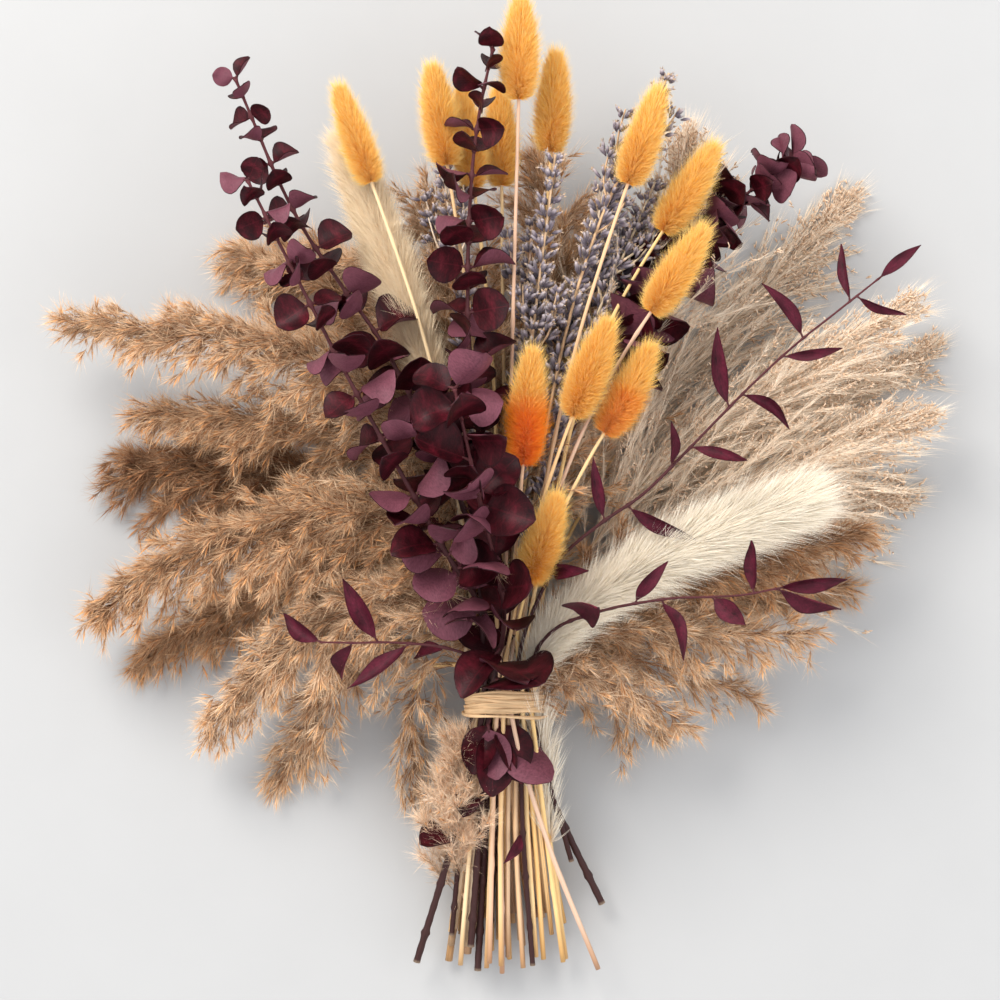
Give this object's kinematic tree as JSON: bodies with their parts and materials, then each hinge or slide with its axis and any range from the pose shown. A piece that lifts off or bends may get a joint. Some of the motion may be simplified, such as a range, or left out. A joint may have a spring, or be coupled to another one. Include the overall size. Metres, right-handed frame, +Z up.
{
  "type": "bunch of dried flowers",
  "caption": "Hand-tied bunch of dried flowers lying down: tan reeds, cream plumes, orange hare's tails, lavender and burgundy eucalyptus bound with raffia.",
  "frame": {"origin": "centre of the bounding box in plan, on the surface the bunch lies on", "axes": "+Y from the cut ends to the flower heads, +X to the right of the bunch seen from above, +Z up off the surface"},
  "size_m": [0.4168, 0.434, 0.1298],
  "materials": {
    "reed": "dry tan-brown plume hairs on straw",
    "plume": "silky cream plume hairs",
    "panicle": "fine dry husks on straw",
    "tail": "soft orange-dyed bristles",
    "lavender": "dry grey-lilac calyxes",
    "eucalyptus": "preserved leaves, burgundy, slight sheen",
    "narrow": "dry narrow leaves, burgundy",
    "tie": "split raffia, fibrous"
  },
  "bodies": {
    "root": {"reed_left_back": "reed", "reed_left_1": "reed", "reed_left_2": "reed", "reed_left_3": "reed", "reed_left_4": "reed", "reed_left_5": "reed", "reed_left_6": "reed", "reed_left_7": "reed", "reed_left_low": "reed", "reed_back_left": "reed", "reed_back_middle": "reed", "reed_right_1": "reed", "reed_right_2": "reed", "reed_right_3": "reed", "reed_right_4": "reed", "reed_right_5": "reed", "reed_right_6": "reed", "plume_slim": "plume", "plume_full": "plume", "panicle_1": "panicle", "panicle_2": "panicle", "panicle_3": "panicle", "panicle_4": "panicle", "panicle_5": "panicle", "panicle_6": "panicle", "hares_tail_1": "tail", "hares_tail_2": "tail", "hares_tail_3": "tail", "hares_tail_4": "tail", "hares_tail_5": "tail", "hares_tail_6": "tail", "hares_tail_7": "tail", "hares_tail_8": "tail", "hares_tail_9": "tail", "hares_tail_10": "tail", "hares_tail_11": "tail", "hares_tail_12": "tail", "hares_tail_13": "tail", "lavender_1": "lavender", "lavender_2": "lavender", "lavender_3": "lavender", "lavender_4": "lavender", "lavender_5": "lavender", "lavender_6": "lavender", "lavender_7": "lavender", "eucalyptus_left_back": "eucalyptus", "eucalyptus_left_front": "eucalyptus", "eucalyptus_middle": "eucalyptus", "eucalyptus_right": "eucalyptus", "eucalyptus_short": "eucalyptus", "narrow_leaf_upper": "narrow", "narrow_leaf_right": "narrow", "narrow_leaf_left": "narrow", "raffia_tie": "tie"}
  },
  "joints": []
}
